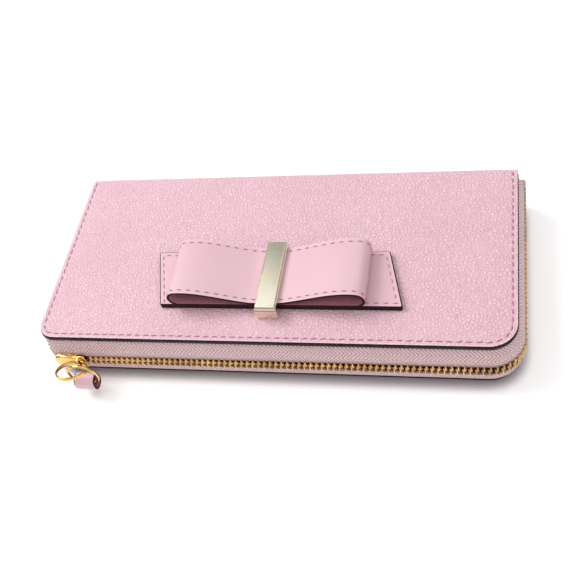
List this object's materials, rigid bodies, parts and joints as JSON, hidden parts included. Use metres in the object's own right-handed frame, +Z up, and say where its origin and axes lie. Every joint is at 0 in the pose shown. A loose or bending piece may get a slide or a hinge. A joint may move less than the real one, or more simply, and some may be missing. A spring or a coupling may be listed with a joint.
{
  "type": "zip wallet",
  "caption": "Long flat leather wallet with a zip along the front edge and one end, a leather bow with a metal bar on the front cover, card slots, bill compartments and a coin pocket.",
  "frame": {"origin": "centre of the back cover's outer face, which the wallet lies on", "axes": "+X along the wallet's length, +Y towards the spine, +Z up through the thickness"},
  "size_m": [0.1934, 0.1052, 0.035],
  "materials": {
    "leather_pebbled": "pale pink pebbled cowhide, satin",
    "leather_smooth": "pale pink smooth leather with dark painted edges",
    "edge_board": "stiffener board with a dark painted edge",
    "card_leather": "thin smooth leather",
    "lining": "dusty rose woven lining",
    "gusset_fabric": "mauve woven fabric",
    "zip_tape": "mauve-grey herringbone tape",
    "zip_teeth": "antique gold teeth",
    "gold_hardware": "polished gold plating",
    "gold_bar": "polished pale gold plating"
  },
  "bodies": {
    "back_cover": {"back_cover_leather": "leather_pebbled", "back_cover_board": "edge_board", "back_lining": "lining", "back_card_row_1": "card_leather", "back_card_row_2": "card_leather", "back_card_row_3": "card_leather", "left_gusset_back": "gusset_fabric", "right_gusset_back": "gusset_fabric", "lower_zip_tape": "zip_tape", "lower_tape_start": "zip_tape", "lower_tape_tail": "zip_tape", "lower_zip_teeth": "zip_teeth"},
    "spine": {"spine_leather": "leather_pebbled", "spine_lining": "lining", "coin_pocket": "lining", "coin_zip_tape": "zip_tape", "coin_zip_teeth": "zip_teeth"},
    "front_cover": {"front_cover_leather": "leather_pebbled", "front_cover_board": "edge_board", "front_lining": "lining", "front_card_row_1": "card_leather", "front_card_row_2": "card_leather", "front_card_row_3": "card_leather", "left_gusset_front": "gusset_fabric", "right_gusset_front": "gusset_fabric", "upper_zip_tape": "zip_tape", "upper_tape_start": "zip_tape", "upper_tape_tail": "zip_tape", "upper_zip_teeth": "zip_teeth", "bow_tails": "leather_smooth", "bow_loop": "leather_smooth", "bow_bar": "gold_bar"},
    "zip_slider": {"slider_body": "gold_hardware", "slider_bail": "gold_hardware"},
    "pull_band_ring": {"band_ring": "gold_hardware"},
    "pull_wire_ring": {"wire_ring": "gold_hardware"},
    "pull_tab": {"leather_tab": "leather_smooth"},
    "coin_slider": {"coin_slider_body": "gold_hardware", "coin_slider_pull": "gold_hardware"}
  },
  "joints": [
    {"name": "spine_tilt", "type": "hinge", "parent": "back_cover", "child": "spine", "pos_m": [0, 0.04283, 0.00117], "axis": [-1, 0, 0], "range_deg": [0, 20], "deforming": ["left_gusset_back", "right_gusset_back", "lower_zip_tape", "upper_zip_tape", "lower_zip_teeth", "upper_zip_teeth", "lower_tape_start", "upper_tape_start", "lower_tape_tail", "upper_tape_tail", "left_gusset_front", "right_gusset_front"]},
    {"name": "cover_open", "type": "hinge", "parent": "spine", "child": "front_cover", "pos_m": [0, 0.04283, 0.02283], "axis": [-1, 0, 0], "range_deg": [0, 20], "deforming": ["left_gusset_front", "right_gusset_front", "upper_zip_tape", "upper_zip_teeth", "upper_tape_start", "upper_tape_tail"]},
    {"name": "slider_slide", "type": "slide", "parent": "back_cover", "child": "zip_slider", "axis": [1, 0, 0], "range_m": [0, 0.15], "deforming": ["lower_zip_teeth", "upper_zip_teeth", "lower_zip_tape", "upper_zip_tape"]},
    {"name": "band_ring_swing", "type": "hinge", "parent": "zip_slider", "child": "pull_band_ring", "pos_m": [-0.0786, -0.04935, 0.0138], "axis": [-1, 0, 0], "range_deg": [-20, 45]},
    {"name": "wire_ring_swing", "type": "hinge", "parent": "pull_band_ring", "child": "pull_wire_ring", "pos_m": [-0.07235, -0.05497, 0.01654], "axis": [0, 1, 0], "range_deg": [-25, 25]},
    {"name": "tab_swing", "type": "hinge", "parent": "pull_wire_ring", "child": "pull_tab", "pos_m": [-0.07495, -0.05497, 0.0068], "axis": [1, 0, 0], "range_deg": [-25, 25]},
    {"name": "coin_slider_slide", "type": "slide", "parent": "spine", "child": "coin_slider", "axis": [1, 0, 0], "range_m": [0, 0.125]}
  ],
  "couplings": [
    {"joint": "cover_open", "follows": "spine_tilt", "ratio": 1}
  ]
}
